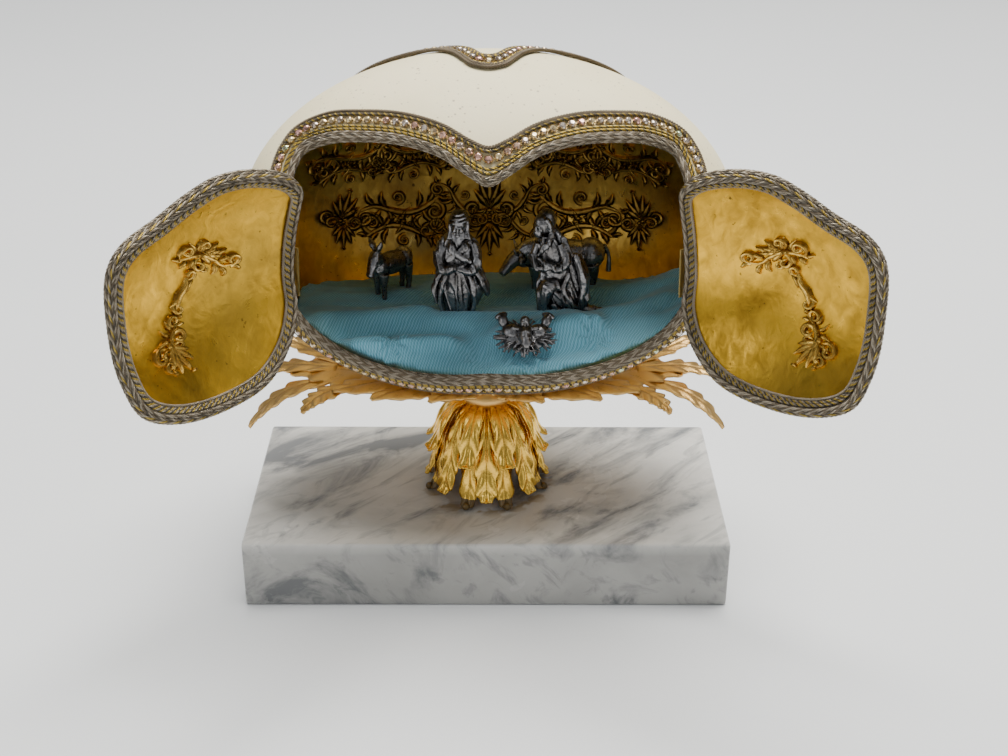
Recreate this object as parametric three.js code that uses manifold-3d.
// A blown rhea egg cut open as a small cabinet: two hinged doors on the front, a padded chamber
// with five small metal figures, glued braid and crystal trim, on a gilt leaf stand and a marble slab.
// Millimetres, +Z up, +X to the viewer's right, the front faces -Y. The origin is the middle of the
// slab's underside.
import * as THREE from 'three';
import Module from 'manifold-3d';
import { ParametricGeometry } from 'three/addons/geometries/ParametricGeometry.js';
import { mergeVertices } from 'three/addons/utils/BufferGeometryUtils.js';

// Driving dimensions
const GAP = 0.3;
const SLAB = { length: 127, depth: 63.5, height: 19, edge: 1.2 };
const EGG = { x: 0.6, z: 95.6, halfLength: 62.8, radius: 43.5, wall: 1.6 };
const TRIM_WIDTH = 8.6;
const TRIM_BED = 0.3;
const INSIDE_BED = EGG.wall + 2 * GAP;
const HINGE = { x: 48.3, lift: 1.9, height: 12, barrel: 0.75, bore: 0.5, pin: 0.3, leaf: 0.35, reach: 3.6 };
const HINGE_LEAN_IN = 1.5;
const HINGE_LEAN_BACK = 2;
const DOOR_OPEN = { left: 117, right: 126 };
const FLOOR_OF_CHAMBER = 72.3;
const STAND = { footRadius: 14.6, neckRadius: 6.5, neckZ: 41, topZ: 47.5, leaves: 8 };

// Outlines on the shell. A place on it is [x, angle], the angle in degrees about the egg's long
// axis, 0 at the front and rising upwards. Each row pairs the edge with the far side of its trim.
const OPENING_RIGHT_HALF = [
  [0, 31.5, 0, 44.6],
  [4.6, 35, 4.4, 47],
  [11, 41.4, 10.6, 52.6],
  [20, 46.8, 20, 58.6],
  [30, 50.8, 30, 63.6],
  [38, 53.6, 39, 69],
  [43, 53.3, 46.4, 70],
  [44.9, 48, 50, 63],
  [46.4, 38, 52.6, 46],
  [49.1, 18, 55, 21],
  [49.5, 0, 55.4, 0],
  [49.1, -12, 55, -18],
  [46.6, -26, 52.6, -37],
  [42, -38, 47.2, -51],
  [34, -44.2, 35.8, -57.4],
  [20, -43.2, 20, -55.2],
  [8, -40, 8, -51.6],
  [0, -37.8, 0, -49.6],
];
const DOOR_EDGE = [
  [0.9, 17, 8.4, 11.5],
  [4, 23.2, 10.4, 14.8],
  [12.5, 29.8, 16.5, 19.8],
  [18, 37.6, 23.4, 29],
  [23, 45, 27.8, 35.6],
  [30, 49.4, 32.4, 38.2],
  [38.5, 51, 37.2, 38],
  [42.6, 48.6, 39.4, 35.4],
  [45, 39.5, 40.5, 29.5],
  [47, 19, 41.5, 14.5],
  [47.3, 0, 41.7, 0],
  [46.6, -20.5, 41, -14.5],
  [42, -35, 37.2, -25],
  [34.5, -42.4, 31.4, -29.8],
  [22, -42, 22.6, -30.2],
  [9.5, -37.6, 12.8, -26.4],
  [2.6, -31.5, 9, -21.6],
  [0.8, -21, 8.3, -14.5],
  [0.8, -2, 8.2, -1.5],
];
const BACK_TRIM_RIGHT_HALF = [
  [0, 76.5, 0, 87],
  [4, 78.5, 1.6, 88],
  [6.4, 83.5, 2.8, 90.6],
  [9, 90.5, 4.4, 95.5],
  [12, 96.5, 8.4, 103],
  [16, 101, 13.6, 109],
  [22, 105, 20.4, 113.4],
  [28, 109.6, 25.6, 118],
  [34, 117.5, 29.6, 123.5],
  [37, 128, 31, 130],
  [33, 140, 26.6, 136],
  [20, 152, 15.6, 145],
  [7, 162, 4.6, 151],
  [0, 172, 0, 158],
];

const GOLD_LEAF = { color: 0xb8862b, roughness: 0.4, metalness: 0.9 };
const GILT = { color: 0xd9a441, roughness: 0.3, metalness: 1 };
const SILVER_BRAID = { color: 0x8d8474, roughness: 0.6, metalness: 0.3 };
const GOLD_BRAID = { color: 0x8a6a26, roughness: 0.55, metalness: 0.4 };
const CRYSTAL = { color: 0xe9e2d6, roughness: 0.08, metalness: 0.2 };
const SHELL = { color: 0xe9e2cf, roughness: 0.65, metalness: 0 };
const MARBLE = { color: 0xdedddb, roughness: 0.3, metalness: 0 };
const FABRIC = { color: 0x6fa9c2, roughness: 0.9, metalness: 0 };
const PEWTER = { color: 0x4a484c, roughness: 0.45, metalness: 0.9 };

const wasm = await Module();
wasm.setup();

const group = new THREE.Group();
const eggCentre = new THREE.Vector3(EGG.x, 0, EGG.z);

function addPiece(name, geometry, look) {
  const mesh = new THREE.Mesh(geometry, new THREE.MeshStandardMaterial(look));
  mesh.name = name;
  group.add(mesh);
  return mesh;
}

// One closed body: shared corners merged, collapsed triangles dropped, faces turned outwards
function closedBody(geometry) {
  const bare = geometry.clone();
  bare.deleteAttribute('normal');
  bare.deleteAttribute('uv');
  const merged = mergeVertices(bare, 1e-4);
  const corners = merged.index.array;
  const kept = [];
  for (let i = 0; i < corners.length; i += 3) {
    const [a, b, c] = [corners[i], corners[i + 1], corners[i + 2]];
    if (a !== b && b !== c && c !== a) {
      kept.push(a, b, c);
    }
  }
  if (signedVolume(merged.attributes.position, kept) < 0) {
    kept.reverse();
  }
  merged.setIndex(kept);
  return merged;
}

function signedVolume(position, corners) {
  const [a, b, c] = [new THREE.Vector3(), new THREE.Vector3(), new THREE.Vector3()];
  let sum = 0;
  for (let i = 0; i < corners.length; i += 3) {
    a.fromBufferAttribute(position, corners[i]);
    b.fromBufferAttribute(position, corners[i + 1]);
    c.fromBufferAttribute(position, corners[i + 2]);
    sum += a.dot(b.cross(c));
  }
  return sum;
}

function solid(geometry) {
  const body = closedBody(geometry);
  const vertProperties = new Float32Array(body.attributes.position.array);
  const triVerts = new Uint32Array(body.index.array);
  return new wasm.Manifold(new wasm.Mesh({ numProp: 3, vertProperties, triVerts }));
}

function geometryOf(body) {
  const mesh = body.getMesh();
  const geometry = new THREE.BufferGeometry();
  geometry.setAttribute('position', new THREE.BufferAttribute(new Float32Array(mesh.vertProperties), 3));
  geometry.setIndex([...mesh.triVerts]);
  return geometry;
}

function joined(geometries) {
  return geometryOf(geometries.map(solid).reduce((sum, next) => sum.add(next)));
}

// A point over the shell: lift is the distance outside its surface
function onShell(x, angle, lift) {
  const length = EGG.halfLength + lift;
  const radius = (EGG.radius + lift) * Math.sqrt(Math.max(0, 1 - (x / length) ** 2));
  const turn = THREE.MathUtils.degToRad(angle);
  return new THREE.Vector3(x, -radius * Math.cos(turn), radius * Math.sin(turn)).add(eggCentre);
}

function shellNormal(point) {
  const [x, y, z] = point.clone().sub(eggCentre).toArray();
  return new THREE.Vector3(x / EGG.halfLength ** 2, y / EGG.radius ** 2, z / EGG.radius ** 2).normalize();
}

function mirrored(rightHalf) {
  const left = rightHalf.slice(1, -1).reverse().map(([x, angle, farX, farAngle]) => [-x, angle, -farX, farAngle]);
  return [...rightHalf, ...left];
}

// Both sides of a trim as smooth closed curves in [x, angle], which share their parameter
function trimRails(rows) {
  const near = rows.map(([x, angle]) => new THREE.Vector3(x, angle, 0));
  const far = rows.map(([, , x, angle]) => new THREE.Vector3(x, angle, 0));
  return [new THREE.CatmullRomCurve3(near, true), new THREE.CatmullRomCurve3(far, true)];
}

// A band glued along the outline. The section is a closed list of [distance from edge, lift].
function band(rows, section, steps, side = 1) {
  const [near, far] = trimRails(rows);
  const place = (u, v, target) => {
    const along = u > 1 - 1e-9 ? 0 : u;
    const [across, lift] = section[Math.round(v * section.length) % section.length];
    const spot = near.getPoint(along).lerp(far.getPoint(along), across / TRIM_WIDTH);
    target.copy(onShell(side * spot.x, spot.y, lift));
  };
  return closedBody(new ParametricGeometry(place, steps, section.length));
}

// The outline as a thick wedge through the shell, for cutting it
function shellCutter(rows, inset, steps, side = 1) {
  const [near, far] = trimRails(rows);
  const outline = [];
  for (let i = 0; i < steps; i += 1) {
    const spot = near.getPoint(i / steps).lerp(far.getPoint(i / steps), inset / TRIM_WIDTH);
    outline.push(new THREE.Vector2(side * spot.x, spot.y));
  }
  const innerRadius = 18;
  const outerRadius = 70;
  const layers = { depth: 1, steps: 8, bevelEnabled: false };
  const wedge = new THREE.ExtrudeGeometry(new THREE.Shape(outline), layers);
  const position = wedge.attributes.position;
  for (let i = 0; i < position.count; i += 1) {
    const radius = THREE.MathUtils.lerp(innerRadius, outerRadius, position.getZ(i));
    const turn = THREE.MathUtils.degToRad(position.getY(i));
    position.setXYZ(i, position.getX(i) + EGG.x, -radius * Math.cos(turn), radius * Math.sin(turn) + EGG.z);
  }
  return solid(wedge);
}

function ellipsoid(radii, centre, across = 32, down = 16) {
  const ball = new THREE.SphereGeometry(1, across, down);
  ball.rotateZ(Math.PI / 2);
  ball.scale(...radii);
  ball.translate(...centre);
  return ball;
}

function eggBody(lift) {
  const radius = EGG.radius + lift;
  return solid(ellipsoid([EGG.halfLength + lift, radius, radius], eggCentre.toArray()));
}

// Flat closed strip along a curve, lens shaped across, pointed at both ends. The facing gives the
// direction that its face looks in at a point.
function strip(points, halfWidths, thickness, facing, steps) {
  const curve = new THREE.CatmullRomCurve3(points.map((p) => new THREE.Vector3(...p)));
  const widths = new THREE.SplineCurve(halfWidths.map((w, i) => new THREE.Vector2(i, w)));
  const lens = [[-1, 0], [-0.55, 0.5], [0.55, 0.5], [1, 0], [0.55, -0.5], [-0.55, -0.5]];
  const place = (u, v, target) => {
    const along = THREE.MathUtils.clamp(u, 0, 1);
    const centre = curve.getPoint(along);
    if (along < 1e-4 || along > 1 - 1e-4) {
      target.copy(centre);
      return;
    }
    const tangent = curve.getTangent(along);
    const across = new THREE.Vector3().crossVectors(tangent, facing(centre)).normalize();
    const up = new THREE.Vector3().crossVectors(across, tangent);
    const [a, b] = lens[Math.round(v * lens.length) % lens.length];
    const width = Math.max(widths.getPoint(along).y, 0.2);
    target.copy(centre).addScaledVector(across, a * width).addScaledVector(up, b * thickness);
  };
  return closedBody(new ParametricGeometry(place, steps, lens.length));
}

// Slab of white marble with eased edges, its underside on z = 0
function marbleSlab() {
  const { length, depth, height, edge } = SLAB;
  const outline = new THREE.Shape();
  outline.moveTo(-length / 2 + edge, -depth / 2 + edge);
  outline.lineTo(length / 2 - edge, -depth / 2 + edge);
  outline.lineTo(length / 2 - edge, depth / 2 - edge);
  outline.lineTo(-length / 2 + edge, depth / 2 - edge);
  outline.closePath();
  const bevel = { bevelThickness: edge, bevelSize: edge, bevelSegments: 2 };
  const slab = new THREE.ExtrudeGeometry(outline, { depth: height - 2 * edge, ...bevel });
  slab.translate(0, 0, edge);
  return closedBody(slab);
}

// Stand foot: eight drooping leaves with curled tips round a hollow-sided core
function leafBell() {
  const { footRadius, neckRadius, neckZ, leaves } = STAND;
  const top = SLAB.height + GAP;
  const core = new THREE.LatheGeometry([
    new THREE.Vector2(0, top + 14),
    new THREE.Vector2(6, top + 15),
    new THREE.Vector2(neckRadius + 1.2, neckZ - 3),
    new THREE.Vector2(neckRadius - 1, neckZ + 2.5),
    new THREE.Vector2(0, neckZ + 2.5),
  ], 16);
  core.rotateX(Math.PI / 2);
  const pieces = [core];
  for (let i = 0; i < leaves; i += 1) {
    const turn = ((i + 0.5) / leaves) * 2 * Math.PI;
    const [c, s] = [Math.cos(turn), Math.sin(turn)];
    const path = [
      [neckRadius - 3, neckZ + 1],
      [neckRadius + 2.5, neckZ - 2.5],
      [neckRadius + 5.5, neckZ - 10],
      [footRadius - 1.4, top + 5.5],
      [footRadius, top + 0.75],
      [footRadius + 2, top + 2.2],
    ];
    const points = path.map(([r, z]) => [r * c, r * s, z]);
    const outwards = new THREE.Vector3(c, s, 0.3);
    pieces.push(strip(points, [2.6, 4.2, 4.6, 3.6, 2.2, 0.9], 1.3, () => outwards, 7));
  }
  return joined(pieces);
}

// Cradle under the egg: a cup that fits the shell, long side leaves and short front and back leaves
function leafCradle() {
  const { topZ, neckRadius, neckZ } = STAND;
  const stemFoot = neckZ + 2.5 + GAP;
  const stem = new THREE.CylinderGeometry(neckRadius + 1, neckRadius - 1.5, topZ + 1 - stemFoot, 16);
  stem.rotateX(Math.PI / 2);
  stem.translate(0, 0, (topZ + 1 + stemFoot) / 2);
  const cup = ellipsoid([26, 17, 4.4], [0, 0, topZ + 3.2], 16, 8);
  const pieces = [stem, cup];
  const upwards = () => new THREE.Vector3(0, 0, 1);
  for (const side of [-1, 1]) {
    const stalk = [[10, 0, topZ + 1.6], [26, 0, 51.2], [40, 0, 54], [52, 0, 54.6]];
    pieces.push(strip(stalk.map(([x, y, z]) => [side * x, y, z]), [5, 9, 9, 4], 1.6, upwards, 7));
    const fingers = [
      [[42, -3, 53.6], [53, -8, 51.5], [60, -10.5, 46.5], [63.5, -11.5, 42.5]],
      [[44, 0, 54], [54, 0.5, 54.4], [61, 1, 52.6]],
      [[42, 3, 54], [51, 9.5, 56], [57, 13.5, 56.4]],
    ];
    for (const finger of fingers) {
      const points = finger.map(([x, y, z]) => [side * x, y, z]);
      pieces.push(strip(points, [2.6, 3.2, 2.4, 0.8], 1.2, upwards, 6));
    }
    for (const end of [-1, 1]) {
      const leaf = [[7, 4, topZ + 1.4], [17, 9.5, 49.4], [25, 14, 51], [29.5, 17, 52]];
      const points = leaf.map(([x, y, z]) => [side * x, end * y, z]);
      pieces.push(strip(points, [3.6, 6.4, 5.6, 1.2], 1.4, upwards, 6));
    }
  }
  const whole = pieces.map(solid).reduce((sum, next) => sum.add(next));
  return geometryOf(whole.subtract(eggBody(TRIM_BED)));
}

// Shell with its front opening; the doors are the same wall, cut to their own smaller outline
const opening = mirrored(OPENING_RIGHT_HALF);
const openingSteps = 52;
const doorSteps = 30;
const edgeBraidReach = 1.3;
const shellWall = eggBody(0).subtract(eggBody(-EGG.wall));

function eggShell() {
  return geometryOf(shellWall.subtract(shellCutter(opening, edgeBraidReach + GAP, openingSteps)));
}

// Padded floor of the chamber: rests on the inside of the shell, lower at the front and back
function cushion() {
  const profile = new THREE.Shape([
    new THREE.Vector2(45, 40),
    new THREE.Vector2(45, 69.5),
    new THREE.Vector2(28, 69.8),
    new THREE.Vector2(12, 71.6),
    new THREE.Vector2(-8, 72),
    new THREE.Vector2(-18, 70.6),
    new THREE.Vector2(-25, 68.4),
    new THREE.Vector2(-30, 65),
    new THREE.Vector2(-34, 40),
  ]);
  const length = 130;
  const block = new THREE.ExtrudeGeometry(profile, { depth: length, bevelEnabled: false });
  block.rotateX(Math.PI / 2);
  block.rotateZ(Math.PI / 2);
  block.translate(-length / 2, 0, 0);
  const inside = EGG.radius - INSIDE_BED;
  const bowl = ellipsoid([EGG.halfLength - INSIDE_BED, inside, inside], eggCentre.toArray(), 28, 14);
  return geometryOf(solid(bowl).intersect(solid(block)));
}

// Scroll ornament pressed on to the inner wall: a low strip along [x, angle] places
function wallScroll(places, halfWidths, side = 1) {
  const thickness = 1.2;
  const clearance = INSIDE_BED + 0.2;
  const points = places.map(([x, angle]) => onShell(side * x, angle, -clearance - thickness / 2).toArray());
  return strip(points, halfWidths, thickness, shellNormal, 8);
}

// Hinge axis of one door: its middle in front of the gap between door and shell, and its direction
function hingeAxis(side) {
  const middle = onShell(side * HINGE.x, 0, 0);
  middle.y -= HINGE.lift;
  const leanIn = Math.tan(THREE.MathUtils.degToRad(HINGE_LEAN_IN));
  const leanBack = Math.tan(THREE.MathUtils.degToRad(HINGE_LEAN_BACK));
  const direction = new THREE.Vector3(-side * leanIn, leanBack, 1).normalize();
  return { middle, direction };
}

// Moves a geometry built about the Z axis, with Y into the egg, on to the hinge
function ontoHinge(geometry, side) {
  const { middle, direction } = hingeAxis(side);
  const across = new THREE.Vector3(0, 1, 0).cross(direction).normalize();
  const inward = new THREE.Vector3().crossVectors(direction, across);
  const frame = new THREE.Matrix4().makeBasis(across, inward, direction).setPosition(middle);
  return geometry.applyMatrix4(frame);
}

function knuckle(from, to) {
  const { barrel, bore } = HINGE;
  const ring = new THREE.LatheGeometry([
    new THREE.Vector2(bore, from),
    new THREE.Vector2(barrel, from),
    new THREE.Vector2(barrel, to),
    new THREE.Vector2(bore, to),
    new THREE.Vector2(bore, from),
  ], 10);
  ring.rotateX(Math.PI / 2);
  return ring;
}

function hingeLeaf(side, towards, knuckles) {
  const { height, leaf, reach, bore, barrel } = HINGE;
  const plate = new THREE.BoxGeometry(leaf, reach, height);
  const start = (bore + barrel) / 2;
  plate.translate(side * towards * (leaf / 2 + 0.12), start + reach / 2, 0);
  const slots = [[-height / 2, -height / 6], [-height / 6, height / 6], [height / 6, height / 2]];
  let body = solid(plate);
  slots.forEach(([from, to], index) => {
    if (knuckles.includes(index)) {
      body = body.add(solid(knuckle(from + GAP / 2, to - GAP / 2)));
      return;
    }
    const room = new THREE.BoxGeometry(4, 2 * barrel + 2 * GAP, to - from + GAP);
    room.translate(0, 0, (from + to) / 2);
    body = body.subtract(solid(room));
  });
  return ontoHinge(geometryOf(body), side);
}

function hingePin(side) {
  const pin = new THREE.CylinderGeometry(HINGE.pin, HINGE.pin, HINGE.height + 0.6, 10);
  pin.rotateX(Math.PI / 2);
  return ontoHinge(closedBody(pin), side);
}

// A door is modelled shut and then swung open about its hinge
function swungOpen(geometry, side) {
  const { middle, direction } = hingeAxis(side);
  const degrees = side < 0 ? -DOOR_OPEN.left : DOOR_OPEN.right;
  const turn = new THREE.Matrix4().makeRotationAxis(direction, THREE.MathUtils.degToRad(degrees));
  const toAxis = new THREE.Matrix4().makeTranslation(middle.clone().negate());
  const back = new THREE.Matrix4().makeTranslation(middle);
  return geometry.applyMatrix4(back.multiply(turn).multiply(toAxis));
}

function doorPieces(side) {
  const bed = -INSIDE_BED;
  const edgeBraid = [
    [0, bed - 0.6],
    [0, 0.4],
    [1.9, 1],
    [1.9, TRIM_BED],
    [edgeBraidReach, TRIM_BED],
    [edgeBraidReach, bed],
    [2.2, bed],
    [2, bed - 1.1],
  ];
  const frontTrim = [[2.3, TRIM_BED], [2.6, 1.6], [8.2, 1.6], [8.5, TRIM_BED]];
  const innerBraid = [[2.5, bed], [4.8, bed], [4.6, bed - 1.1], [2.7, bed - 1.1]];
  const plate = shellWall.intersect(shellCutter(DOOR_EDGE, edgeBraidReach + GAP, doorSteps, side));
  const scroll = [[15, -24], [12.5, -15], [18, -4], [24, 4], [31, 15], [35, 12]];
  return {
    panel: swungOpen(geometryOf(plate), side),
    edge_braid: swungOpen(band(DOOR_EDGE, edgeBraid, doorSteps, side), side),
    inner_braid: swungOpen(band(DOOR_EDGE, innerBraid, doorSteps, side), side),
    front_trim: swungOpen(band(DOOR_EDGE, frontTrim, doorSteps, side), side),
    scroll: swungOpen(wallScroll(scroll, [2.2, 4.4, 1.8, 1.8, 4.2, 2], side), side),
  };
}

// Small cast figures; each is built standing on z = 0 and then placed on the cushion
function robe(profile, flatness) {
  const lathe = new THREE.LatheGeometry(profile.map(([r, z]) => new THREE.Vector2(r, z)), 10);
  lathe.rotateX(Math.PI / 2);
  lathe.scale(1, flatness, 1);
  return lathe;
}

function ball(radii, centre) {
  return ellipsoid(radii, centre, 8, 6);
}

function leg(x, y, height, radius) {
  const column = new THREE.CylinderGeometry(radius * 1.3, radius, height, 7);
  column.rotateX(Math.PI / 2);
  column.translate(x, y, height / 2);
  return column;
}

function standingFigure() {
  const profile = [[0, 0], [3.8, 0], [5, 4], [7.6, 9], [7, 13], [5.6, 17], [4.3, 21], [2.6, 24], [0, 24.4]];
  return joined([robe(profile, 0.62), ball([2.9, 3, 3.4], [0.6, -0.4, 26.2])]);
}

function kneelingFigure() {
  const profile = [[0, 0], [6, 0], [6.4, 3], [5.6, 9], [5.4, 14], [4.4, 19], [2.4, 22.5], [0, 23]];
  const body = robe(profile, 0.66);
  body.applyMatrix4(new THREE.Matrix4().makeShear(0, 0, 0, 0, -0.24, 0));
  const calf = ball([5.4, 2.6, 2.4], [6.4, 1, 2.4]);
  return joined([body, calf, ball([2.9, 3, 3.5], [-5.6, -0.6, 25.4])]);
}

function fourLeggedAnimal(body, legs, head) {
  const [bodyLength, bodyWidth, bodyHeight, bodyZ] = body;
  const [legX, legY, legRadius] = legs;
  const pieces = [ball([bodyLength, bodyWidth, bodyHeight], [0, 0, bodyZ])];
  for (const x of [-legX, legX]) {
    for (const y of [-legY, legY]) {
      pieces.push(leg(x, y, bodyZ, legRadius));
    }
  }
  return joined([...pieces, ...head]);
}

function donkey() {
  const head = [
    ball([2.6, 1.7, 3.4], [-5.4, -0.8, 12]),
    ball([2.2, 1.5, 1.6], [-7.4, -1.6, 12.6]),
    ball([0.6, 0.5, 1.9], [-5.4, -0.2, 15.6]),
  ];
  return fourLeggedAnimal([6.4, 2.9, 3.2, 9.6], [4.2, 1.5, 0.8], head);
}

function ox() {
  const head = [ball([4.4, 2.8, 3.4], [-11.4, -0.8, 8.8]), ball([2.6, 2, 1.9], [-15, -1.6, 8])];
  return fourLeggedAnimal([11.6, 4, 4.8, 9.6], [8, 2.2, 1.1], head);
}

function manger() {
  const profile = [[0, 0], [4, 0], [6.4, 2], [8, 5.6], [6.8, 5.8], [5.2, 3.6], [0, 3.2]];
  const cradle = robe(profile, 0.66);
  return joined([cradle, ball([2, 3, 1.6], [0, -0.8, 4.2]), ball([1.5, 1.5, 1.5], [0, 2.6, 5.4])]);
}

function placed(geometry, [x, y, z], turn = 0, tip = 0) {
  geometry.rotateX(THREE.MathUtils.degToRad(tip));
  geometry.rotateZ(THREE.MathUtils.degToRad(turn));
  return geometry.translate(x, y, z);
}

addPiece('marble_base', marbleSlab(), MARBLE);
addPiece('leaf_bell', leafBell(), GILT);
addPiece('leaf_cradle', leafCradle(), GILT);
addPiece('egg_shell', eggShell(), SHELL);

// Trim round the opening, from the edge outwards
const wrap = -INSIDE_BED;
const silverSection = [
  [0, wrap],
  [0, 0.3],
  [0.7, 1.2],
  [2.2, 1.2],
  [2.6, TRIM_BED],
  [edgeBraidReach, TRIM_BED],
  [edgeBraidReach, wrap],
];
addPiece('opening_silver_braid', band(opening, silverSection, openingSteps), SILVER_BRAID);
const raised = (from, to, height) => [[from, TRIM_BED], [from, height], [to, height], [to, TRIM_BED]];
addPiece('opening_gold_braid', band(opening, raised(2.9, 4.2, 1.4), openingSteps), GOLD_BRAID);
addPiece('opening_crystal_chain', band(opening, raised(4.5, 6.8, 1.8), openingSteps), CRYSTAL);
addPiece('opening_outer_cord', band(opening, raised(7.1, 8.6, 1.5), openingSteps), SILVER_BRAID);

// Closed trim loop over the top and back of the shell
const backTrim = mirrored(BACK_TRIM_RIGHT_HALF);
const backSteps = 32;
addPiece('back_outer_cord', band(backTrim, raised(0, 2.6, 1.5), backSteps), SILVER_BRAID);
addPiece('back_crystal_chain', band(backTrim, raised(3.1, 5.7, 1.8), backSteps), CRYSTAL);
addPiece('back_gold_braid', band(backTrim, raised(6.2, 8.4, 1.4), backSteps), GOLD_BRAID);

addPiece('cushion', cushion(), FABRIC);

// Pressed scrolls on the back wall: an upper and a lower row
const upperScroll = [[14, 172], [22, 176], [30, 170], [40, 166]];
const lowerScroll = [[17, 198], [26, 202], [36, 199], [46, 200]];
for (const [name, side] of [['left', -1], ['right', 1]]) {
  addPiece(`wall_scroll_upper_${name}`, wallScroll(upperScroll, [2, 4.6, 4.6, 2], side), GOLD_LEAF);
  addPiece(`wall_scroll_lower_${name}`, wallScroll(lowerScroll, [2, 5, 5, 2], side), GOLD_LEAF);
}
const lowerCentre = [[-13, 197], [-6, 194], [6, 194], [13, 197]];
addPiece('wall_scroll_lower_centre', wallScroll(lowerCentre, [2, 6.4, 6.4, 2]), GOLD_LEAF);

for (const [name, side] of [['left', -1], ['right', 1]]) {
  const pieces = doorPieces(side);
  addPiece(`${name}_door_panel`, pieces.panel, SHELL);
  addPiece(`${name}_door_edge_braid`, pieces.edge_braid, SILVER_BRAID);
  addPiece(`${name}_door_inner_braid`, pieces.inner_braid, GOLD_BRAID);
  addPiece(`${name}_door_front_trim`, pieces.front_trim, CRYSTAL);
  addPiece(`${name}_door_scroll`, pieces.scroll, GOLD_LEAF);
  addPiece(`${name}_hinge_frame_leaf`, hingeLeaf(side, 1, [0, 2]), GILT);
  addPiece(`${name}_hinge_door_leaf`, swungOpen(hingeLeaf(side, -1, [1]), side), GILT);
  addPiece(`${name}_hinge_pin`, hingePin(side), GILT);
}

addPiece('standing_figure', placed(standingFigure(), [-7.4, -7, FLOOR_OF_CHAMBER]), PEWTER);
addPiece('kneeling_figure', placed(kneelingFigure(), [19.6, -5, FLOOR_OF_CHAMBER]), PEWTER);
addPiece('donkey', placed(donkey(), [-25.6, 6, FLOOR_OF_CHAMBER], 18), PEWTER);
addPiece('ox', placed(ox(), [20, 11, FLOOR_OF_CHAMBER], 4), PEWTER);
addPiece('manger', placed(manger(), [9.4, -20.6, 71.2], 0, 14), PEWTER);

export default group;
